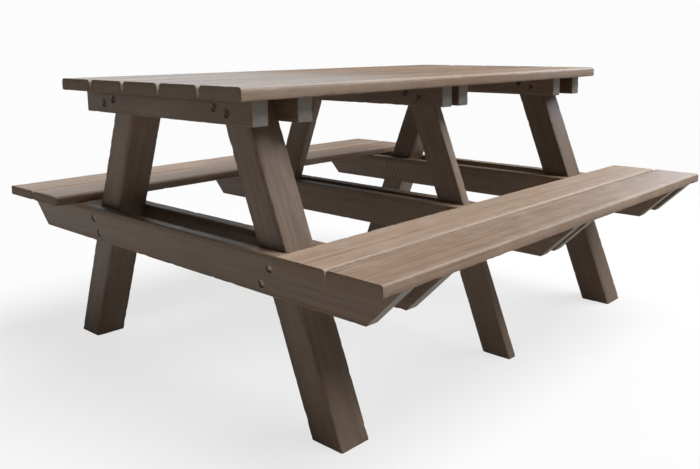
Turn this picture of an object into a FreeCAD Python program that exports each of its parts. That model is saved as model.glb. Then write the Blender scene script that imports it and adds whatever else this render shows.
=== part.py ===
import FreeCAD, Part
import math
import os

# Picnic table: three A-frames carry five tabletop boards and two boards on each bench.
# Millimetres. X runs along the table, the front bench is on the -Y side, Z is up.
# The origin is on the ground under the middle of the tabletop.

# ---- overall sizes
table_length = 1520.0
table_height = 750.0
overall_width = 1450.0
bench_height = 426.0

# ---- boards
board_width = 138.0
top_board_thickness = 30.0
top_board_gap = 8.5
top_board_count = 5
bench_board_thickness = 26.0
bench_board_gap = 4.0
bench_board_count = 2
top_board_top_round = 10.0
top_board_bottom_round = 5.0
bench_board_top_round = 7.0
bench_board_bottom_round = 4.0

# ---- A-frames
end_frame_inset = 94.0
end_leg_thickness = 85.0
end_leg_width = 84.0
middle_leg_thickness = 32.0
middle_leg_width = 80.0
foot_outer_inset = 190.0
leg_top_outer_inset = 112.0
leg_round = 4.0

# ---- top joists, one on each side of every pair of legs
joist_thickness = 43.0
joist_height = 56.0
joist_end_inset = 30.0
joist_round = 3.0

# ---- seat beams, one on each side of every pair of legs
beam_thickness = 34.0
beam_height = 90.0
beam_end_inset = 4.0
beam_end_cut_degrees = 45.0
beam_round = 2.5

# ---- bolts through beam or joist, leg, and beam or joist
bolt_diameter = 8.0
bolt_clearance = 1.0
bolt_head_flats = 13.0
bolt_head_height = 5.3
nut_height = 6.8
nut_clearance = 0.2
bolt_tip = 1.2
washer_diameter = 16.0
washer_thickness = 1.6
recess_diameter = 20.0
recess_depth = 10.0
hex_edge_chamfer = 0.8

# where the bolts cross a leg: along Y from the leg's centre line, and down from the
# top of the joist or beam
top_bolt_offsets = ((-8.0, 19.0), (31.0, 31.0))
seat_bolt_offsets = ((17.0, 28.0), (-23.0, 66.0))

# ---- screws that hold the boards from below
screw_diameter = 5.0
screw_clearance = 1.0
pilot_clearance = 0.3
screw_head_diameter = 9.5
screw_head_height = 2.6
screw_tip_height = 6.0
screw_socket_flats = 4.0
screw_socket_depth = 1.6
screw_skin = 6.0
screw_well_diameter = 11.0
top_screw_length = 58.0
bench_screw_length = 60.0
short_screw_length = 40.0
board_screw_offset = 30.0
outer_board_screw_offset = 42.0
short_screw_offset = 30.0

# ---- heights and widths that follow from the sizes above
top_underside = table_height - top_board_thickness
joist_underside = top_underside - joist_height
beam_top = bench_height - bench_board_thickness
beam_underside = beam_top - beam_height
half_length = table_length / 2
half_width = overall_width / 2
top_pitch = board_width + top_board_gap
bench_pitch = board_width + bench_board_gap
top_width = top_board_count * board_width + (top_board_count - 1) * top_board_gap
foot_outer = half_width - foot_outer_inset
leg_top_outer = top_width / 2 - leg_top_outer_inset
lean = (foot_outer - leg_top_outer) / top_underside
joist_half = top_width / 2 - joist_end_inset
beam_half = half_width - beam_end_inset
beam_cut = beam_height / math.tan(math.radians(beam_end_cut_degrees))

# each frame: name, middle of its legs along X, leg thickness, leg width,
# and the names of its two sides from -X to +X
end_leg_middle = half_length - end_frame_inset - end_leg_thickness / 2
frames = (
    ("left", -end_leg_middle, end_leg_thickness, end_leg_width, ("outer", "inner")),
    ("middle", 0.0, middle_leg_thickness, middle_leg_width, ("left", "right")),
    ("right", end_leg_middle, end_leg_thickness, end_leg_width, ("inner", "outer")),
)
sides = (("front", -1), ("rear", 1))

EPS = 1e-6


def save(node, shapes):
    """Write one solid, or a group of separate solids, as one node."""
    shape = shapes[0] if len(shapes) == 1 else Part.makeCompound(shapes)
    shape.exportStep("parts/" + node + ".step")


def vector(x, y, z):
    return FreeCAD.Vector(x, y, z)


def block(x0, x1, y0, y1, z0, z1):
    return Part.makeBox(x1 - x0, y1 - y0, z1 - z0, vector(x0, y0, z0))


def prism(outline, x0, x1):
    """Extrude a closed outline of (y, z) points from x0 to x1."""
    points = [vector(x0, y, z) for y, z in outline]
    face = Part.Face(Part.makePolygon(points + points[:1]))
    return face.extrude(vector(x1 - x0, 0, 0))


def along_x(edge):
    first, last = edge.firstVertex().Point, edge.lastVertex().Point
    return abs(first.y - last.y) < EPS and abs(first.z - last.z) < EPS


def middle_of(edge):
    return edge.CenterOfMass


def cylinder_x(radius, x0, x1, y, z):
    return Part.makeCylinder(radius, x1 - x0, vector(x0, y, z), vector(1, 0, 0))


def cylinder_z(radius, x, y, z0, z1):
    return Part.makeCylinder(radius, z1 - z0, vector(x, y, z0), vector(0, 0, 1))


def hexagon(flats, height):
    """A hexagonal prism standing on the origin."""
    radius = flats / math.sqrt(3)
    turns = [math.radians(60 * i) for i in range(6)]
    points = [vector(radius * math.cos(a), radius * math.sin(a), 0) for a in turns]
    face = Part.Face(Part.makePolygon(points + points[:1]))
    return face.extrude(vector(0, 0, height))


def chamfered_hexagon(flats, height, chamfer_bottom):
    """A bolt head or nut: the six corners are turned off at the free faces."""
    radius = flats / math.sqrt(3)
    low = hex_edge_chamfer if chamfer_bottom else 0.0
    high = height - hex_edge_chamfer
    inner = radius - hex_edge_chamfer / math.tan(math.radians(30))
    profile = [vector(0, 0, 0)]
    if chamfer_bottom:
        profile.append(vector(inner, 0, 0))
    profile.append(vector(radius, 0, low))
    profile.append(vector(radius, 0, high))
    profile.append(vector(inner, 0, height))
    profile.append(vector(0, 0, height))
    face = Part.Face(Part.makePolygon(profile + profile[:1]))
    turned = face.revolve(vector(0, 0, 0), vector(0, 0, 1), 360)
    return hexagon(flats, height).common(turned)


def lay_along(shape, direction, x, y, z):
    """Turn a shape made along +Z so that it runs along +X or -X, and place it."""
    shape.rotate(vector(0, 0, 0), vector(0, 1, 0), 90 * direction)
    shape.translate(vector(x, y, z))
    return shape


def rounded_board(x0, x1, y0, y1, z0, z1, top_round, bottom_round):
    """A board with its four long edges rounded, more at the top than below."""
    board = block(x0, x1, y0, y1, z0, z1)
    upper = [e for e in board.Edges if along_x(e) and middle_of(e).z > z1 - EPS]
    board = board.makeFillet(min(top_round, 0.55 * (z1 - z0)), upper)
    lower = [e for e in board.Edges if along_x(e) and middle_of(e).z < z0 + EPS]
    return board.makeFillet(min(bottom_round, 0.4 * (z1 - z0)), lower)


def leg_outer(side, z):
    """Y of a leg's outer face at height z."""
    return side * (foot_outer - lean * z)


def leg_span(width):
    """How far a leg reaches along Y at any height."""
    return width * math.hypot(1, lean)


def leg_centre(side, width, z):
    return leg_outer(side, z) - side * leg_span(width) / 2


def top_bolt_places(side, width):
    z_top = top_underside
    return [(leg_centre(side, width, z_top - down) + side * out, z_top - down)
            for out, down in top_bolt_offsets]


def seat_bolt_places(side, width):
    return [(leg_centre(side, width, beam_top - down) + side * out, beam_top - down)
            for out, down in seat_bolt_offsets]


def all_bolt_places(places, width):
    return [place for name, side in sides for place in places(side, width)]


def leg(x, thickness, width, side):
    """A leaning post cut level at the ground and under the tabletop."""
    span = leg_span(width)
    outline = [
        (leg_outer(side, 0), 0),
        (leg_outer(side, 0) - side * span, 0),
        (leg_outer(side, top_underside) - side * span, top_underside),
        (leg_outer(side, top_underside), top_underside),
    ]
    x0 = x - thickness / 2
    x1 = x + thickness / 2
    post = prism(outline, x0, x1)
    long_edges = [e for e in post.Edges if e.Length > top_underside]
    post = post.makeFillet(leg_round, long_edges)
    for y, z in top_bolt_places(side, width) + seat_bolt_places(side, width):
        post = post.cut(cylinder_x((bolt_diameter + bolt_clearance) / 2, x0 - 1, x1 + 1, y, z))
    return post


def cross_member(outline, inner_x, direction, thickness, rounding, bolt_places):
    """A joist or beam beside the legs, with a recess for every bolt end."""
    outer_x = inner_x + direction * thickness
    x0, x1 = min(inner_x, outer_x), max(inner_x, outer_x)
    member = prism(outline, x0, x1)
    corners = [e for e in member.Edges if e.BoundBox.XLength < EPS and e.BoundBox.ZLength < EPS]
    member = member.makeFillet(rounding, corners)
    recess_x = outer_x - direction * recess_depth
    beyond_x = outer_x + direction
    for y, z in bolt_places:
        hole = cylinder_x((bolt_diameter + bolt_clearance) / 2, x0 - 1, x1 + 1, y, z)
        recess = cylinder_x(recess_diameter / 2, min(recess_x, beyond_x), max(recess_x, beyond_x), y, z)
        member = member.cut(hole).cut(recess)
    return member


def top_joist_outline():
    return [(-joist_half, joist_underside), (joist_half, joist_underside),
            (joist_half, top_underside), (-joist_half, top_underside)]


def seat_beam_outline():
    """Full width at the top; the ends slope back underneath."""
    return [(-beam_half + beam_cut, beam_underside), (beam_half - beam_cut, beam_underside),
            (beam_half, beam_top), (-beam_half, beam_top)]


def screw_passage(x, y, well_bottom, head_z, top_z):
    """The clearance hole for a screw with a well below its head."""
    well = cylinder_z(screw_well_diameter / 2, x, y, well_bottom - 1, head_z)
    hole = cylinder_z((screw_diameter + screw_clearance) / 2, x, y, head_z - 1, top_z + 1)
    return well.fuse(hole)


def pilot_hole(x, y, board_bottom, tip_z):
    return cylinder_z((screw_diameter + pilot_clearance) / 2, x, y, board_bottom - 1, tip_z + pilot_clearance)


def board_screw(x, y, head_z, length):
    """A pan-head screw pointing up; its head bears on the face at head_z."""
    shank_top = head_z + length - screw_tip_height
    radius = screw_diameter / 2
    shank = cylinder_z(radius, x, y, head_z, shank_top)
    tip = Part.makeCone(radius, radius / 8, screw_tip_height, vector(x, y, shank_top), vector(0, 0, 1))
    head = cylinder_z(screw_head_diameter / 2, x, y, head_z - screw_head_height, head_z)
    rim = [e for e in head.Edges if abs(middle_of(e).z - head_z + screw_head_height) < EPS]
    head = head.makeFillet(screw_head_height / 2, rim)
    socket = hexagon(screw_socket_flats, screw_socket_depth)
    socket.translate(vector(x, y, head_z - screw_head_height))
    return shank.fuse([tip, head]).removeSplitter().cut(socket)


def through_bolt(grip, direction, seat_x, y, z):
    """A hexagon bolt whose head bears on its washer at seat_x and points along direction."""
    length = grip + 2 * washer_thickness + nut_height + bolt_tip
    shank = Part.makeCylinder(bolt_diameter / 2, length)
    end_edge = [e for e in shank.Edges if middle_of(e).z > length - EPS]
    shank = shank.makeChamfer(bolt_tip / 2, end_edge)
    head = chamfered_hexagon(bolt_head_flats, bolt_head_height, False)
    head.rotate(vector(0, 0, 0), vector(1, 0, 0), 180)
    bolt = shank.fuse(head)
    return lay_along(bolt, direction, seat_x - direction * washer_thickness, y, z)


def hole_ring(shape, radius, height):
    return shape.cut(Part.makeCylinder(radius, height + 2, vector(0, 0, -1)))


def washer(direction, seat_x, y, z):
    ring = Part.makeCylinder(washer_diameter / 2, washer_thickness)
    ring = hole_ring(ring, (bolt_diameter + bolt_clearance / 2) / 2, washer_thickness)
    return lay_along(ring, direction, seat_x, y, z)


def nut(direction, seat_x, y, z):
    body = chamfered_hexagon(bolt_head_flats, nut_height, True)
    body = hole_ring(body, (bolt_diameter + nut_clearance) / 2, nut_height)
    return lay_along(body, direction, seat_x + direction * washer_thickness, y, z)


def bolted_joint(x, thickness, member_thickness, places):
    """The bolts, washers and nuts that clamp two members on the legs at x.

    Heads face -X on the left and middle frames and +X on the right frame."""
    head_side = 1 if x > 0 else -1
    reach = thickness / 2 + member_thickness - recess_depth
    head_seat = x + head_side * reach
    nut_seat = x - head_side * reach
    bolts = [through_bolt(2 * reach, -head_side, head_seat, y, z) for y, z in places]
    washers = [washer(head_side, head_seat, y, z) for y, z in places]
    washers += [washer(-head_side, nut_seat, y, z) for y, z in places]
    nuts = [nut(-head_side, nut_seat, y, z) for y, z in places]
    return bolts, washers, nuts


def member_places(x, thickness, member_thickness):
    """For the -X and +X member of a frame: its inner face, direction and middle along X."""
    result = []
    for direction in (-1, 1):
        inner_x = x + direction * thickness / 2
        result.append((inner_x, direction, inner_x + direction * member_thickness / 2))
    return result


def top_board_middle(index):
    return -top_width / 2 + board_width / 2 + index * top_pitch


def bench_board_middle(side, index):
    """index 0 is the outer board of a bench."""
    return side * (half_width - board_width / 2 - index * bench_pitch)


# ---- screw places: the board (and on a bench its side), then x and y
top_screws = []
bench_screws = []
short_screws = []
for frame_name, frame_x, leg_thickness, leg_width, side_names in frames:
    for inner_x, direction, middle_x in member_places(frame_x, leg_thickness, joist_thickness):
        for index in range(top_board_count):
            screw_y = top_board_middle(index) + direction * board_screw_offset
            top_screws.append((index, middle_x, screw_y))
    for inner_x, direction, middle_x in member_places(frame_x, leg_thickness, beam_thickness):
        for side_name, side in sides:
            inner_y = bench_board_middle(side, 1) + direction * board_screw_offset
            outer_y = bench_board_middle(side, 0) - side * outer_board_screw_offset
            short_y = bench_board_middle(side, 0) + side * short_screw_offset
            bench_screws.append((side, 1, middle_x, inner_y))
            bench_screws.append((side, 0, middle_x, outer_y))
            short_screws.append((side, 0, middle_x, short_y))

top_screw_tip = table_height - screw_skin
bench_screw_tip = bench_height - screw_skin
top_screw_head = top_screw_tip - top_screw_length
bench_screw_head = bench_screw_tip - bench_screw_length
short_screw_head = bench_screw_tip - short_screw_length

os.makedirs("parts", exist_ok=True)

# ---- tabletop boards, numbered from the front
for index in range(top_board_count):
    middle_y = top_board_middle(index)
    board = rounded_board(-half_length, half_length, middle_y - board_width / 2,
                          middle_y + board_width / 2, top_underside, table_height,
                          top_board_top_round, top_board_bottom_round)
    for screw_index, x, y in top_screws:
        if screw_index == index:
            board = board.cut(pilot_hole(x, y, top_underside, top_screw_tip))
    save("top_board_%d" % (index + 1), [board])

# ---- bench boards
for side_name, side in sides:
    for index, place_name in ((0, "outer"), (1, "inner")):
        middle_y = bench_board_middle(side, index)
        board = rounded_board(-half_length, half_length, middle_y - board_width / 2,
                              middle_y + board_width / 2, beam_top, bench_height,
                              bench_board_top_round, bench_board_bottom_round)
        for screw_side, screw_index, x, y in bench_screws + short_screws:
            if screw_side == side and screw_index == index:
                board = board.cut(pilot_hole(x, y, beam_top, bench_screw_tip))
        save("%s_bench_board_%s" % (side_name, place_name), [board])

# ---- legs, joists and beams of the three frames
for frame_name, frame_x, leg_thickness, leg_width, side_names in frames:
    for side_name, side in sides:
        save("%s_%s_leg" % (frame_name, side_name), [leg(frame_x, leg_thickness, leg_width, side)])
    joist_places = member_places(frame_x, leg_thickness, joist_thickness)
    for name, (inner_x, direction, middle_x) in zip(side_names, joist_places):
        joist = cross_member(top_joist_outline(), inner_x, direction, joist_thickness, joist_round,
                             all_bolt_places(top_bolt_places, leg_width))
        for index, x, y in top_screws:
            if abs(x - middle_x) < EPS:
                joist = joist.cut(screw_passage(x, y, joist_underside, top_screw_head, top_underside))
        save("%s_top_joist_%s" % (frame_name, name), [joist])
    beam_places = member_places(frame_x, leg_thickness, beam_thickness)
    for name, (inner_x, direction, middle_x) in zip(side_names, beam_places):
        beam = cross_member(seat_beam_outline(), inner_x, direction, beam_thickness, beam_round,
                            all_bolt_places(seat_bolt_places, leg_width))
        for side, index, x, y in bench_screws:
            if abs(x - middle_x) < EPS:
                beam = beam.cut(screw_passage(x, y, beam_underside, bench_screw_head, beam_top))
        for side, index, x, y in short_screws:
            if abs(x - middle_x) < EPS:
                beam = beam.cut(screw_passage(x, y, beam_underside, short_screw_head, beam_top))
        save("%s_seat_beam_%s" % (frame_name, name), [beam])

# ---- bolts, washers and nuts
top_bolts = {"end": [], "middle": []}
seat_bolts = {"end": [], "middle": []}
top_washers = []
seat_washers = []
top_nuts = []
seat_nuts = []
for frame_name, frame_x, leg_thickness, leg_width, side_names in frames:
    kind = "middle" if frame_name == "middle" else "end"
    places = all_bolt_places(top_bolt_places, leg_width)
    bolts, washers, nuts = bolted_joint(frame_x, leg_thickness, joist_thickness, places)
    top_bolts[kind] += bolts
    top_washers += washers
    top_nuts += nuts
    places = all_bolt_places(seat_bolt_places, leg_width)
    bolts, washers, nuts = bolted_joint(frame_x, leg_thickness, beam_thickness, places)
    seat_bolts[kind] += bolts
    seat_washers += washers
    seat_nuts += nuts
for kind in ("end", "middle"):
    save("%s_frame_top_bolts" % kind, top_bolts[kind])
    save("%s_frame_seat_bolts" % kind, seat_bolts[kind])
save("top_washers", top_washers)
save("seat_washers", seat_washers)
save("top_nuts", top_nuts)
save("seat_nuts", seat_nuts)

# ---- screws
save("top_board_screws", [board_screw(x, y, top_screw_head, top_screw_length) for index, x, y in top_screws])
save("bench_board_screws",
     [board_screw(x, y, bench_screw_head, bench_screw_length) for side, index, x, y in bench_screws])
save("bench_short_screws",
     [board_screw(x, y, short_screw_head, short_screw_length) for side, index, x, y in short_screws])
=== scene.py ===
import math
import random

import bmesh
import bpy
from mathutils import Matrix, Vector


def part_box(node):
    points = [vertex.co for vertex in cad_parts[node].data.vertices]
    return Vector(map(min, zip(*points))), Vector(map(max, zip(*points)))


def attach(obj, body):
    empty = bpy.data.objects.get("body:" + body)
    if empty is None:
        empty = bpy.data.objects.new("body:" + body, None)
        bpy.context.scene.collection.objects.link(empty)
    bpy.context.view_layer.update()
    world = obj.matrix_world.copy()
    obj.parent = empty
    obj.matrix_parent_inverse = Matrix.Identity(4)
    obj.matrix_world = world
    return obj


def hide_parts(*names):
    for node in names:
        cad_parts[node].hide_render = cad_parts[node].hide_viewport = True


# Picnic table: every board, leg, joist and beam is cut from rounded lumber stock and put where
# the frame has it; legs are bored for bolts, joists and beams for bolts and screws.
# X runs along the table, Z is up, metres.

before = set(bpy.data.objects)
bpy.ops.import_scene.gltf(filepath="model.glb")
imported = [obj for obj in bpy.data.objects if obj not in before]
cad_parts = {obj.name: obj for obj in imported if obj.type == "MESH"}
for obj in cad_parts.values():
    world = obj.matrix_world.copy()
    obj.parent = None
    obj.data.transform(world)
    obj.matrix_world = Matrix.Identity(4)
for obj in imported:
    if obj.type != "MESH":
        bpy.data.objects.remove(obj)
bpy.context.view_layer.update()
print("frame loaded:", len(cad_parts), "nodes")

tiny = 1e-5
chance = random.Random(7)


def clearSelection():
    if bpy.context.object is not None and bpy.context.object.mode != "OBJECT":
        bpy.ops.object.mode_set(mode="OBJECT")
    bpy.ops.object.select_all(action="DESELECT")


def startOn(piece):
    clearSelection()
    piece.select_set(True)
    bpy.context.view_layer.objects.active = piece


def enterEdit(piece):
    startOn(piece)
    bpy.ops.object.mode_set(mode="EDIT")
    bpy.ops.mesh.select_mode(type="EDGE")


def leaveEdit():
    bpy.ops.object.mode_set(mode="OBJECT")


def pickEdges(piece, wanted):
    # selects only the edges whose two end points pass the test
    mesh = bmesh.from_edit_mesh(piece.data)
    bpy.ops.mesh.select_all(action="DESELECT")
    for edge in mesh.edges:
        if wanted(edge.verts[0].co, edge.verts[1].co):
            edge.select_set(True)
    bmesh.update_edit_mesh(piece.data)


def pickFaces(piece, wanted):
    mesh = bmesh.from_edit_mesh(piece.data)
    bpy.ops.mesh.select_all(action="DESELECT")
    for face in mesh.faces:
        if wanted(face):
            face.select_set(True)
    bmesh.update_edit_mesh(piece.data)


def applyAll(piece):
    startOn(piece)
    for modifier in list(piece.modifiers):
        bpy.ops.object.modifier_apply(modifier=modifier.name)


def looseParts(node):
    # lowest and highest corner of every separate solid of a CAD node
    mesh = bmesh.new()
    mesh.from_mesh(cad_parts[node].data)
    bmesh.ops.remove_doubles(mesh, verts=mesh.verts, dist=tiny)
    waiting = set(mesh.verts)
    parts = []
    while waiting:
        edge = [waiting.pop()]
        found = []
        while edge:
            vert = edge.pop()
            found.append(vert.co.copy())
            for link in vert.link_edges:
                other = link.other_vert(vert)
                if other in waiting:
                    waiting.remove(other)
                    edge.append(other)
        low = Vector([min(co[i] for co in found) for i in range(3)])
        high = Vector([max(co[i] for co in found) for i in range(3)])
        parts.append((low, high))
    mesh.free()
    return parts


class Wire:
    # an output socket that can be added, taken away and multiplied
    def __init__(self, desk, socket):
        self.desk = desk
        self.socket = socket

    def __add__(self, other):
        return self.desk.maths("ADD", self, other)

    def __sub__(self, other):
        return self.desk.maths("SUBTRACT", self, other)

    def __rsub__(self, other):
        return self.desk.maths("SUBTRACT", other, self)

    def __mul__(self, other):
        return self.desk.maths("MULTIPLY", self, other)

    __radd__ = __add__
    __rmul__ = __mul__


class Desk:
    # the nodes of one material, or of the world
    def __init__(self, owner):
        owner.use_nodes = True
        self.owner = owner
        self.tree = owner.node_tree

    def feed(self, socket, value):
        if isinstance(value, Wire):
            self.tree.links.new(value.socket, socket)
        else:
            socket.default_value = value

    def node(self, kind, settings=None, inputs=None, output=0):
        made = self.tree.nodes.new(kind)
        for name, value in (settings or {}).items():
            if name == "stops":
                ramp = made.color_ramp.elements
                while len(ramp) < len(value):
                    ramp.new(0.5)
                for stop, (place, colour) in zip(ramp, value):
                    stop.position = place
                    stop.color = (*colour, 1.0)
            else:
                setattr(made, name, value)
        for name, value in (inputs or {}).items():
            self.feed(made.inputs[name], value)
        return Wire(self, made.outputs[output])

    def maths(self, operation, first, second):
        return self.node("ShaderNodeMath", {"operation": operation}, {0: first, 1: second})

    def stretch(self, vector, scale):
        return self.node("ShaderNodeVectorMath", {"operation": "MULTIPLY"}, {0: vector, 1: scale})

    def noise(self, vector, detail, roughness):
        return self.node("ShaderNodeTexNoise", None,
                         {"Vector": vector, "Scale": 1.0, "Detail": detail, "Roughness": roughness})

    def between(self, value, low, high):
        # 0 at low, 1 at high, smooth and clamped
        return self.node("ShaderNodeMapRange", {"interpolation_type": "SMOOTHSTEP"},
                         {"Value": value, "From Min": low, "From Max": high})

    def mix(self, factor, first, second, mode="MIX"):
        return self.node("ShaderNodeMix", {"data_type": "RGBA", "blend_type": mode},
                         {0: factor, 6: first, 7: second}, 2)

    def finish(self, inputs):
        surface = self.tree.nodes["Principled BSDF"]
        for name, value in inputs.items():
            self.feed(surface.inputs[name], value)
        return self.owner


def rgb(red, green, blue):
    return (red, green, blue, 1.0)


# lumber: brown moulded boards, streaked along their length, scuffed at the edges
lumberLook = {
    "dark": (0.128, 0.078, 0.045),
    "middle": (0.165, 0.103, 0.062),
    "light": (0.208, 0.138, 0.089),
    "grey": (0.215, 0.178, 0.146),
    "warm": (0.225, 0.125, 0.060),
    # painted sheen colours for the tabletop: the next one is the grey of reflected sky on its left end, the
    # one two lines on is the browner tone of its middle
    "worn": (0.270, 0.212, 0.158),
    "sheenGrey": (0.235, 0.205, 0.180),
    "lessSheenBrown": (0.168, 0.092, 0.046),
    "gloss": 0.4,
    "wearAmount": 0.25,
    # how strongly the tabletop's painted sheen greys its left end and browns its middle
    "sheenAtLeftEnd": 0.5,
    "lessSheenMiddle": 0.6,
    "streakScale": (2.2, 120.0, 120.0),
    "fineScale": (11.0, 620.0, 620.0),
    "lineScale": (1.5, 260.0, 260.0),
    "patchScale": (3.5, 9.0, 9.0),
    "blotchScale": (14.0, 34.0, 34.0),
    "poreScale": (520.0, 900.0, 900.0),
    "sawScale": (240.0, 900.0, 240.0),
}


def lumberMaterial(name, look, tint, coreColour, lines, paintedSheen):
    desk = Desk(bpy.data.materials.new(name))
    grain = desk.node("ShaderNodeAttribute", {"attribute_name": "grain"}, output="Vector")
    tone = desk.node("ShaderNodeAttribute", {"attribute_name": "tone"}, output="Fac")
    worn = desk.node("ShaderNodeAttribute", {"attribute_name": "worn"}, output="Fac")
    sawn = desk.node("ShaderNodeAttribute", {"attribute_name": "sawn"}, output="Fac")
    streak = desk.noise(desk.stretch(grain, look["streakScale"]), 5.0, 0.62)
    fine = desk.noise(desk.stretch(grain, look["fineScale"]), 3.0, 0.6)
    line = desk.noise(desk.stretch(grain, look["lineScale"]), 2.0, 0.55)
    patch = desk.noise(desk.stretch(grain, look["patchScale"]), 2.0, 0.5)
    blotch = desk.noise(desk.stretch(grain, look["blotchScale"]), 4.0, 0.6)
    pores = desk.noise(desk.stretch(grain, look["poreScale"]), 1.0, 0.5)

    depth = streak * 0.45 + fine * 0.4 + blotch * 0.15 + (tone - 0.5) * 0.24
    skin = desk.node("ShaderNodeValToRGB", {"stops": (
        (0.38, look["dark"]), (0.50, look["middle"]), (0.62, look["light"]))}, {"Fac": depth})
    darkLines = desk.between(line, 0.54, 0.64)
    skin = desk.mix(darkLines * lines, skin, rgb(*[0.55 * c for c in look["dark"]]))
    greyPatches = desk.between(blotch * 0.5 + patch * 0.5, 0.50, 0.68)
    skin = desk.mix(greyPatches * 0.35, skin, rgb(*look["grey"]))
    warmPatches = desk.between(patch * 0.7 + streak * 0.3, 0.52, 0.66)
    skin = desk.mix(warmPatches * 0.30, skin, rgb(*look["warm"]))
    if paintedSheen:
        # painted sheen: the left end's upward faces are painted grey for the bright sky they reflect, and
        # the middle is painted browner where less sky is reflected
        here = desk.node("ShaderNodeTexCoord", output="Object")
        place = desk.node("ShaderNodeSeparateXYZ", None, {0: here})
        along = place + (blotch - 0.5) * 0.4 + (streak - 0.5) * 0.9 + (tone - 0.5) * 0.15
        facing = desk.node("ShaderNodeNewGeometry", output="Normal")
        upward = desk.between(desk.node("ShaderNodeSeparateXYZ", None, {0: facing}, "Z"), 0.5, 0.95)
        grey = (1.0 - desk.between(along, -0.40, -0.05)) * upward
        skin = desk.mix(grey * look["sheenAtLeftEnd"], skin, rgb(*look["sheenGrey"]))
        # painted sheen, the other way: the middle is painted browner to take the sky's reflection away
        # there
        brown = desk.between(along, -0.22, 0.02) * (1.0 - desk.between(along, 0.30, 0.65))
        skin = desk.mix(brown * look["lessSheenMiddle"], skin, rgb(*look["lessSheenBrown"]))
    wear = desk.between(worn + (blotch - 0.5) * 1.1 + (fine - 0.5) * 0.5, 0.55, 1.05)
    skin = desk.mix(wear * look["wearAmount"], skin, rgb(*look["worn"]))
    skin = desk.mix(1.0, skin, rgb(*tint), "MULTIPLY")
    saw = desk.noise(desk.stretch(grain, look["sawScale"]), 4.0, 0.7)
    core = desk.mix(desk.between(saw, 0.3, 0.7), rgb(*[0.7 * c for c in coreColour]), rgb(*coreColour))
    colour = desk.mix(sawn * 0.92, skin, core)

    dips = desk.between(pores, 0.30, 0.42)
    height = fine * 0.55 + streak * 0.35 + dips * 0.2 + blotch * 0.3 + saw * sawn * 1.5 - darkLines * 0.5
    bumped = desk.node("ShaderNodeBump", None, {"Strength": 0.5, "Distance": 0.0005, "Height": height})
    rough = 0.50 + (fine - 0.5) * 0.25 + (blotch - 0.5) * 0.2 + sawn * 0.28 + worn * 0.25
    return desk.finish({"Base Color": colour, "Roughness": rough, "Normal": bumped,
                        "Specular IOR Level": look["gloss"]})


lumberKinds = {
    # only the tabletop gets the painted sheen on its left end and middle
    "tabletop_lumber": {"tint": (1.0, 1.02, 1.04), "coreColour": (0.125, 0.090, 0.062), "lines": 0.4,
                        "paintedSheen": True},
    "bench_lumber": {"tint": (1.02, 1.0, 0.98), "coreColour": (0.165, 0.110, 0.070), "lines": 0.4,
                     "paintedSheen": False},
    "frame_lumber": {"tint": (0.68, 0.655, 0.62), "coreColour": (0.205, 0.185, 0.160), "lines": 0.15,
                     "paintedSheen": False},
}
lumberMaterials = {slot: lumberMaterial(slot, lumberLook, **kind) for slot, kind in lumberKinds.items()}
print("lumber materials made:", len(lumberMaterials))


# sizes in metres; tones run from 0, dark, to 1, light; lifts are added to a piece's own tone as painted
# light and shade
lumber = {
    "topBoardRounds": (0.010, 0.005),
    "benchBoardRounds": (0.007, 0.004),
    "legRound": 0.004,
    "joistRound": 0.003,
    "beamRound": 0.0025,
    "roundStep": 0.0016,
    "cellAcross": 0.021,
    "station": 0.009,
    "endBreak": 0.0009,
    "unevenness": 0.0006,
    "unevenSize": 0.09,
    "dentDepth": 0.0013,
    "dentSize": 0.017,
    "dentRange": (0.26, 0.42),
    "wearReach": 0.009,
    "skinDepth": 0.0035,
    "smoothAngle": 28.0,
    "tones": {"front_bench_board_inner": 0.95, "front_bench_board_outer": 0.45},
    # painted light and shade: the left seat beam's outer piece is painted lighter, the left outer top joist
    # and the rear bench boards darker, standing in for how much light falls on them
    "paintedLightLifts": {"left_seat_beam_outer": 0.5, "left_top_joist_outer": -0.5,
              "rear_bench_board_inner": -0.5, "rear_bench_board_outer": -0.5},
}


def cloudTexture(name, size, stops):
    # clouds whose brightness runs from 0 to 1 between the two stops and never beyond
    texture = bpy.data.textures.new(name, "CLOUDS")
    texture.noise_scale = size
    texture.noise_depth = 2
    texture.use_color_ramp = True
    for stop, place, shade in zip(texture.color_ramp.elements, stops, (0.0, 1.0)):
        stop.position = place
        stop.color = (shade, shade, shade, 1.0)
    return texture


unevenTexture = cloudTexture("uneven", lumber["unevenSize"], (0.0, 1.0))
dentTexture = cloudTexture("dents", lumber["dentSize"], lumber["dentRange"])


stockPile = {}


def isFlat(face, directions):
    return any(abs(face.normal.dot(direction)) > 0.9995 for direction in directions)


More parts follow.
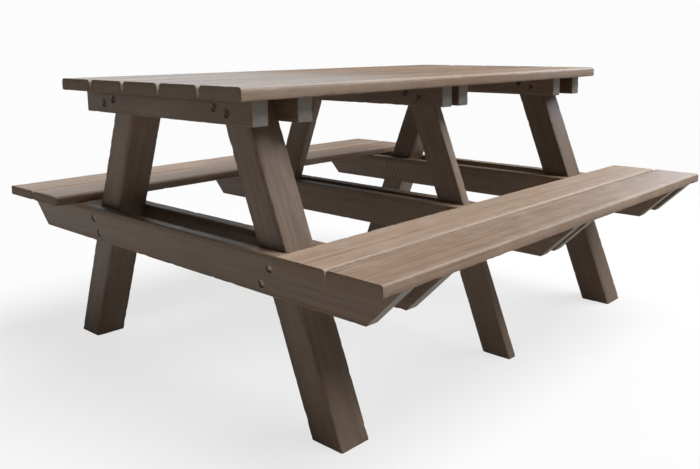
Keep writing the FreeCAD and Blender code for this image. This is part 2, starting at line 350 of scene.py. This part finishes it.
def sawStock(size, rounds, endCuts):
    # a length of lumber along X about the origin: sawn to the end cuts, long edges rounded,
    # sawn edges broken, and cut into small cells for the wear
    length, width, thickness = size
    clearSelection()
    bpy.ops.mesh.primitive_cube_add(size=1, scale=size)
    piece = bpy.context.object
    enterEdit(piece)
    for axis, extent in ((1, width), (2, thickness)):
        pickEdges(piece, lambda a, b: abs(a[axis] - b[axis]) > tiny)
        bpy.ops.mesh.subdivide(number_cuts=max(1, round(extent / lumber["cellAcross"])))
    for point, normal in endCuts:
        bpy.ops.mesh.select_all(action="SELECT")
        bpy.ops.mesh.bisect(plane_co=point, plane_no=normal, use_fill=True, clear_outer=True)

    def corner(height, a, b):
        lengthwise = abs(a.x - b.x) > 0.1
        return lengthwise and abs(abs(a.y) - width / 2) < tiny and abs(a.z - height) < tiny

    for height, reach in zip((thickness / 2, -thickness / 2), rounds):
        pickEdges(piece, lambda a, b: corner(height, a, b))
        steps = max(3, round(reach / lumber["roundStep"]))
        bpy.ops.mesh.bevel(offset=reach, segments=steps, affect="EDGES")
    bpy.ops.mesh.select_mode(type="FACE")
    sawnEnds = [Vector(normal).normalized() for point, normal in endCuts]
    for normal in sawnEnds or [Vector((1, 0, 0)), Vector((-1, 0, 0))]:
        pickFaces(piece, lambda face: face.normal.dot(normal) > 0.999)
        bpy.ops.mesh.region_to_loop()
        bpy.ops.mesh.bevel(offset=lumber["endBreak"], segments=2, affect="EDGES")
    bpy.ops.mesh.select_mode(type="EDGE")
    for cuts in (round(length / lumber["station"] / 2), 1):
        pickEdges(piece, lambda a, b: abs(a.x - b.x) > 0.006 and abs((a - b).normalized().x) > 0.8)
        bpy.ops.mesh.subdivide(number_cuts=cuts)
    leaveEdit()
    faces = [Vector((0, 1, 0)), Vector((0, 0, 1)), Vector((1, 0, 0))] + sawnEnds
    arris = piece.vertex_groups.new(name="arris")
    for face in piece.data.polygons:
        if not isFlat(face, faces):
            arris.add(list(face.vertices), 1.0, "REPLACE")
    return piece


def lumberStock(name, size, rounds, endCuts):
    # pieces of one size are sawn once and copied
    slopes = [[round(part, 5) for part in normal] for point, normal in endCuts]
    key = str(([round(extent, 5) for extent in size], rounds, slopes))
    if key not in stockPile:
        stockPile[key] = sawStock(size, rounds, endCuts)
    piece = stockPile[key].copy()
    piece.data = stockPile[key].data.copy()
    piece.name = name
    bpy.context.collection.objects.link(piece)
    return piece


def placeAlong(piece, start, end, sideways):
    # lays the stock's X axis from start to end and its Y axis sideways, and returns the placing
    along = (end - start).normalized()
    turn = Matrix((along, sideways, along.cross(sideways))).transposed().to_4x4()
    placing = Matrix.Translation((start + end) / 2) @ turn
    piece.matrix_world = placing
    startOn(piece)
    bpy.ops.object.transform_apply(location=True, rotation=True, scale=True)
    return placing


def weather(piece):
    # shallow waves all over, and a few dents along the edges; both push inwards, though a point
    # or two at a beam's sharp end lifts by about half a millimetre
    uneven = piece.modifiers.new("uneven", "DISPLACE")
    uneven.texture = unevenTexture
    uneven.mid_level = 1.0
    uneven.strength = lumber["unevenness"]
    dents = piece.modifiers.new("dents", "DISPLACE")
    dents.texture = dentTexture
    dents.mid_level = 1.0
    dents.strength = lumber["dentDepth"]
    dents.vertex_group = "arris"
    applyAll(piece)


def makePlug(length, radius, flare):
    # a round plug down Z from the origin; the flared one widens at 45 degrees towards its start
    clearSelection()
    bpy.ops.mesh.primitive_cylinder_add(vertices=36, radius=radius, depth=length,
                                        location=(0, 0, -length / 2))
    plug = bpy.context.object
    if flare == 0:
        return plug
    enterEdit(plug)
    bpy.ops.mesh.select_all(action="SELECT")
    bpy.ops.mesh.bisect(plane_co=(0, 0, -flare), plane_no=(0, 0, 1))
    pickFaces(plug, lambda face: face.calc_center_median().z > -tiny)
    widened = (radius + flare) / radius
    bpy.ops.transform.resize(value=(widened, widened, 1))
    leaveEdit()
    return plug


def bore(piece, holes, flare):
    # holes are (start, end, radius); the flare is measured from the start
    if not holes:
        return
    plugs = []
    for start, end, radius in holes:
        plug = makePlug((end - start).length, radius, flare)
        turn = (start - end).to_track_quat("Z", "Y").to_matrix().to_4x4()
        plug.matrix_world = Matrix.Translation(start) @ turn
        plugs.append(plug)
    clearSelection()
    for plug in plugs:
        plug.select_set(True)
    bpy.context.view_layer.objects.active = plugs[0]
    bpy.ops.object.join()
    cutter = bpy.context.object
    cut = piece.modifiers.new("bore", "BOOLEAN")
    cut.operation = "DIFFERENCE"
    cut.solver = "EXACT"
    cut.object = cutter
    applyAll(piece)
    bpy.data.objects.remove(cutter)


def writeLayer(mesh, name, domain, values):
    # one number or one vector for every vertex or face
    vector = isinstance(values[0], Vector)
    layer = mesh.attributes.new(name, "FLOAT_VECTOR" if vector else "FLOAT", domain)
    if vector:
        layer.data.foreach_set("vector", [number for value in values for number in value])
    else:
        layer.data.foreach_set("value", values)


def finishLumber(piece, node, placing, size, endCuts, slot):
    # writes what the material reads: grain coordinates, tone, wear and sawn faces
    length, width, thickness = size
    back = placing.inverted()
    turn = back.to_3x3()
    offset = Vector([chance.uniform(0, 9) for i in range(3)])
    tone = chance.random() if node not in lumber["tones"] else lumber["tones"][node]
    # painted light and shade: the piece's tone is raised or lowered for how lit it stands
    tone += lumber["paintedLightLifts"].get(node, 0.0)
    cuts = [(Vector(point), Vector(normal).normalized()) for point, normal in endCuts]
    cuts = cuts or [(Vector((side * length / 2, 0, 0)), Vector((side, 0, 0))) for side in (-1, 1)]
    mesh = piece.data
    places = [back @ vert.co for vert in mesh.vertices]
    worn = []
    for place in places:
        depths = [width / 2 - abs(place.y), thickness / 2 - abs(place.z)]
        depths += [(point - place).dot(normal) for point, normal in cuts]
        worn.append(max(0.0, 1.0 - sorted(depths)[1] / lumber["wearReach"]))
    writeLayer(mesh, "grain", "POINT", [place + offset for place in places])
    writeLayer(mesh, "tone", "POINT", [tone] * len(places))
    writeLayer(mesh, "worn", "POINT", worn)
    sawn = []
    for face in mesh.polygons:
        local = back @ face.center
        facing = turn @ face.normal
        inside = min(width / 2 - abs(local.y), thickness / 2 - abs(local.z))
        inside = min([inside] + [(point - local).dot(normal) for point, normal in cuts])
        atEnd = any(facing.dot(normal) > 0.8 for point, normal in cuts)
        sawn.append(1.0 if atEnd or inside > lumber["skinDepth"] else 0.0)
    writeLayer(mesh, "sawn", "FACE", sawn)
    mesh.materials.clear()
    mesh.materials.append(lumberMaterials[slot])
    startOn(piece)
    bpy.ops.object.shade_smooth_by_angle(angle=math.radians(lumber["smoothAngle"]))
    clearSelection()
    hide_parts(node)
    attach(piece, "root")


# radii of the holes that the fasteners pass through or sit in, and how far the plugs stand out
fastenerFit = {
    "recessRadius": 0.010,
    "boltHoleRadius": 0.0045,
    "wellRadius": 0.0055,
    "screwHoleRadius": 0.003,
    "headHeight": 0.0026,
    "standOff": 0.003,
    "overrun": 0.002,
    "rim": 0.0007,
}
bolts = [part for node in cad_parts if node.endswith("_bolts") for part in looseParts(node)]
washers = [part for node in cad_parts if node.endswith("_washers") for part in looseParts(node)]
screws = [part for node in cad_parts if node.endswith("_screws") for part in looseParts(node)]
print("fasteners:", len(bolts), "bolts", len(washers), "washers", len(screws), "screws")


def within(low, high, point):
    return all(low[i] < point[i] < high[i] for i in range(3))


def recessesIn(low, high):
    # bolt recesses in a joist or beam, each from outside its face to the washer's seat
    holes = []
    for first, last in washers:
        middle = (first + last) / 2
        if within(low, high, middle):
            outer = high.x if high.x - middle.x < middle.x - low.x else low.x
            seat = first.x if outer == high.x else last.x
            outside = outer + (fastenerFit["standOff"] if outer == high.x else -fastenerFit["standOff"])
            holes.append((Vector((outside, middle.y, middle.z)), Vector((seat, middle.y, middle.z)),
                          fastenerFit["recessRadius"]))
    return holes


def boltHolesIn(low, high):
    holes = []
    for first, last in bolts:
        middle = (first + last) / 2
        if low.y < middle.y < high.y and low.z < middle.z < high.z and first.x < high.x and last.x > low.x:
            overrun = fastenerFit["overrun"]
            holes.append((Vector((low.x - overrun, middle.y, middle.z)),
                          Vector((high.x + overrun, middle.y, middle.z)), fastenerFit["boltHoleRadius"]))
    return holes


def screwWellsIn(low, high):
    # wells under the screw heads, open at the member's underside
    wells, holes = [], []
    for first, last in screws:
        middle = (first + last) / 2
        if low.x < middle.x < high.x and low.y < middle.y < high.y and low.z < first.z < high.z:
            below = Vector((middle.x, middle.y, low.z - fastenerFit["standOff"]))
            seat = Vector((middle.x, middle.y, first.z + fastenerFit["headHeight"]))
            wells.append((below, seat, fastenerFit["wellRadius"]))
            above = Vector((middle.x, middle.y, high.z + fastenerFit["overrun"]))
            holes.append((seat - Vector((0, 0, 0.001)), above, fastenerFit["screwHoleRadius"]))
    return wells, holes


def makeBoard(node, slot, rounds):
    low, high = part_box(node)
    size = high - low
    piece = lumberStock(node.replace("_", "."), size, rounds, [])
    middle = (low + high) / 2
    reach = Vector((size.x / 2, 0, 0))
    placing = placeAlong(piece, middle - reach, middle + reach, Vector((0, 1, 0)))
    weather(piece)
    finishLumber(piece, node, placing, size, [], slot)


for node in sorted(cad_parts):
    if "top_board" in node and "screw" not in node:
        makeBoard(node, "tabletop_lumber", lumber["topBoardRounds"])
    if "bench_board" in node and "screw" not in node:
        makeBoard(node, "bench_lumber", lumber["benchBoardRounds"])
print("boards made")


def makeCrossMember(node, rounding, slopedEnds):
    low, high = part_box(node)
    size = Vector((high.y - low.y, high.x - low.x, high.z - low.z))
    middle = (low + high) / 2
    endCuts = []
    if slopedEnds:
        endCuts = [((side * size.x / 2, 0, size.z / 2), (side, 0, -1)) for side in (-1, 1)]
    piece = lumberStock(node.replace("_", "."), size, (rounding, rounding), endCuts)
    reach = Vector((0, size.x / 2, 0))
    placing = placeAlong(piece, middle - reach, middle + reach, Vector((-1, 0, 0)))
    weather(piece)
    wells, screwHoles = screwWellsIn(low, high)
    bore(piece, recessesIn(low, high) + wells, fastenerFit["standOff"] + fastenerFit["rim"])
    bore(piece, boltHolesIn(low, high) + screwHoles, 0)
    finishLumber(piece, node, placing, size, endCuts, "frame_lumber")


for node in sorted(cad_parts):
    if "_top_joist_" in node:
        makeCrossMember(node, lumber["joistRound"], False)
    if "_seat_beam_" in node:
        makeCrossMember(node, lumber["beamRound"], True)
print("joists and beams made")


def makeLeg(node):
    low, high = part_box(node)
    feet = [v.co.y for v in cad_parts[node].data.vertices if v.co.z < low.z + tiny]
    tops = [v.co.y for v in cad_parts[node].data.vertices if v.co.z > high.z - tiny]
    across = (low.x + high.x) / 2
    foot = Vector((across, (min(feet) + max(feet)) / 2, low.z))
    head = Vector((across, (min(tops) + max(tops)) / 2, high.z))
    along = (head - foot).normalized()
    width = (max(feet) - min(feet)) * along.z
    spare = along * width
    side = -1 if foot.y < 0 else 1
    size = Vector(((head - foot + 2 * spare).length, high.x - low.x, width))
    reach = (head - foot).length / 2
    tilt = math.sqrt(1 - along.z ** 2)
    level = (along.z, 0, tilt)
    endCuts = [((reach, 0, 0), level), ((-reach, 0, 0), (-along.z, 0, -tilt))]
    piece = lumberStock(node.replace("_", "."), size, (lumber["legRound"], lumber["legRound"]), endCuts)
    placing = placeAlong(piece, foot, head, Vector((side, 0, 0)))
    weather(piece)
    bore(piece, boltHolesIn(low, high), 0)
    finishLumber(piece, node, placing, size, endCuts, "frame_lumber")


for node in sorted(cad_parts):
    if node.endswith("_leg"):
        makeLeg(node)
for stock in stockPile.values():
    bpy.data.objects.remove(stock)
print("legs made")


# zinc-plated steel gone dull, with specks of rust
steelLook = {
    "clean": (0.25, 0.22, 0.19),
    "dull": (0.14, 0.12, 0.10),
    "rust": (0.10, 0.06, 0.04),
}


def steelMaterial(name, dullness, shade):
    desk = Desk(bpy.data.materials.new(name))
    place = desk.node("ShaderNodeTexCoord", output="Object")
    cloud = desk.noise(desk.stretch(place, (160.0, 160.0, 160.0)), 4.0, 0.6)
    fleck = desk.noise(desk.stretch(place, (900.0, 900.0, 900.0)), 2.0, 0.5)
    # shade scales the steel's colours down; it paints shade on the fasteners under the tabletop
    clean = rgb(*[shade * c for c in steelLook["clean"]])
    dull = rgb(*[shade * c for c in steelLook["dull"]])
    colour = desk.mix(desk.between(cloud, 0.35, 0.65), clean, dull)
    colour = desk.mix(desk.between(fleck, 0.62, 0.75) * dullness, colour, rgb(*steelLook["rust"]))
    rough = 0.30 + cloud * 0.25 + dullness * 0.15
    bumped = desk.node("ShaderNodeBump", None, {"Strength": 0.3, "Distance": 0.0001, "Height": fleck})
    return desk.finish({"Base Color": colour, "Roughness": rough, "Normal": bumped, "Metallic": 1.0})


# painted shade: the fasteners up under the tabletop are painted far darker than those by the benches, for
# the tabletop's shadow over them; they also get more rust flecks and a duller finish
steel = {
    "_bolts": steelMaterial("bolt_steel", 0.35, 1.0),
    "_washers": steelMaterial("washer_steel", 0.5, 1.0),
    "_nuts": steelMaterial("nut_steel", 0.4, 1.0),
    "_screws": steelMaterial("screw_steel", 0.7, 1.0),
    "_top_bolts": steelMaterial("top_bolt_steel_painted_shade", 0.6, 0.3),
    "top_washers": steelMaterial("top_washer_steel_painted_shade", 0.7, 0.3),
    "top_nuts": steelMaterial("top_nut_steel_painted_shade", 0.6, 0.4),
}
for node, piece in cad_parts.items():
    for ending, material in steel.items():
        if node.endswith(ending):
            piece.data.materials.clear()
            piece.data.materials.append(material)
print("fasteners finished")


# a pale floor that fades into the backdrop, a broad soft sun, a smaller light at the right
# end and a dim sky
studio = {
    "floorRadius": 14.0,
    "floorColour": (0.400, 0.371, 0.340),
    "floorGlow": 0.15,
    "floorFade": 0.7,
    "backdropColour": (0.975, 0.975, 0.975),
    "sunColour": (0.92, 0.99, 1.09),
    "skyColour": (0.92, 0.97, 1.0),
    "skyLow": 0.12,
    "skyHigh": 1.6,
    "skyToward": (0.26, 0.966, 0.12),
    "sunStrength": 7.4,
    "sunSpread": 50.0,
    "sunFrom": (0.46, -0.36, 1.0),
    "sideColour": (0.86, 0.97, 1.08),
    "sidePower": 19.0,
    "sideSize": 0.9,
    "sidePlace": (2.2, -0.50, 1.4),
    "sideToward": (0.6, -0.30, 0.6),
}


def makeFloor():
    desk = Desk(bpy.data.materials.new("floor_paint"))
    place = desk.node("ShaderNodeTexCoord", output="Object")
    mottle = desk.noise(desk.stretch(place, (1.2, 1.2, 1.2)), 3.0, 0.5)
    base = studio["floorColour"]
    shade = desk.mix(mottle, rgb(*base), rgb(*[0.98 * c for c in base]))
    paint = desk.finish({"Base Color": shade, "Roughness": 0.85, "Specular IOR Level": 0.2,
                         "Emission Color": rgb(1.0, 1.0, 1.0), "Emission Strength": studio["floorGlow"]})
    # seen directly, most of the floor's shading fades into the backdrop
    fade = desk.node("ShaderNodeEmission", None, {"Color": rgb(*studio["backdropColour"]), "Strength": 1.0})
    seen = desk.node("ShaderNodeLightPath", output="Is Camera Ray")
    surface = Wire(desk, desk.tree.nodes["Principled BSDF"].outputs[0])
    faded = desk.node("ShaderNodeMixShader", None, {0: seen * studio["floorFade"], 1: surface, 2: fade})
    desk.feed(desk.tree.nodes["Material Output"].inputs["Surface"], faded)
    clearSelection()
    bpy.ops.mesh.primitive_circle_add(vertices=96, radius=studio["floorRadius"], fill_type="NGON")
    floor = bpy.context.object
    floor.name = "studio.floor"
    floor.data.materials.append(paint)


def makeLights():
    # a dim sky, brighter behind the table, the sun and the side light; the backdrop is white
    world = bpy.data.worlds.new("studio")
    desk = Desk(world)
    direction = desk.node("ShaderNodeTexCoord", output="Generated")
    toward = Vector(studio["skyToward"]).normalized()
    facing = desk.node("ShaderNodeVectorMath", {"operation": "DOT_PRODUCT"},
                       {0: direction, 1: tuple(toward)}, "Value")
    glow = desk.between(facing, 0.80, 0.98)
    strength = studio["skyLow"] + glow * (studio["skyHigh"] - studio["skyLow"])
    sky = desk.node("ShaderNodeBackground", None,
                    {"Color": rgb(*studio["skyColour"]), "Strength": strength})
    backdrop = desk.node("ShaderNodeBackground", None, {"Color": rgb(*studio["backdropColour"])})
    seen = desk.node("ShaderNodeLightPath", output="Is Camera Ray")
    choice = desk.node("ShaderNodeMixShader", None, {0: seen, 1: sky, 2: backdrop})
    desk.feed(desk.tree.nodes["World Output"].inputs["Surface"], choice)
    bpy.context.scene.world = world
    clearSelection()
    bpy.ops.object.light_add(type="SUN")
    sun = bpy.context.object
    sun.name = "key.light"
    sun.data.energy = studio["sunStrength"]
    sun.data.color = studio["sunColour"]
    sun.data.angle = math.radians(studio["sunSpread"])
    sun.rotation_euler = Vector(studio["sunFrom"]).to_track_quat("Z", "Y").to_euler()
    clearSelection()
    bpy.ops.object.light_add(type="AREA", location=studio["sidePlace"])
    side = bpy.context.object
    side.name = "side.light"
    side.data.energy = studio["sidePower"]
    side.data.color = studio["sideColour"]
    side.data.size = studio["sideSize"]
    away = Vector(studio["sidePlace"]) - Vector(studio["sideToward"])
    side.rotation_euler = away.to_track_quat("Z", "Y").to_euler()


viewpoint = {
    "place": (-1.7138, -1.5373, 0.8285),
    "heading": 42.96,
    "down": 10.706,
    "roll": 0.39,
    "lens": 39.43,
    "sensor": 36.0,
    "rise": -0.0636,
}


def makeCamera():
    clearSelection()
    bpy.ops.object.camera_add(location=viewpoint["place"])
    camera = bpy.context.object
    camera.data.lens = viewpoint["lens"]
    camera.data.sensor_width = viewpoint["sensor"]
    camera.data.shift_y = viewpoint["rise"]
    turn = (Matrix.Rotation(math.radians(viewpoint["heading"] - 90), 3, "Z")
            @ Matrix.Rotation(math.radians(90 - viewpoint["down"]), 3, "X")
            @ Matrix.Rotation(math.radians(-viewpoint["roll"]), 3, "Z"))
    camera.rotation_euler = turn.to_euler()
    bpy.context.scene.camera = camera


makeFloor()
makeLights()
makeCamera()
bpy.context.scene.view_settings.view_transform = "Standard"
print("studio ready")
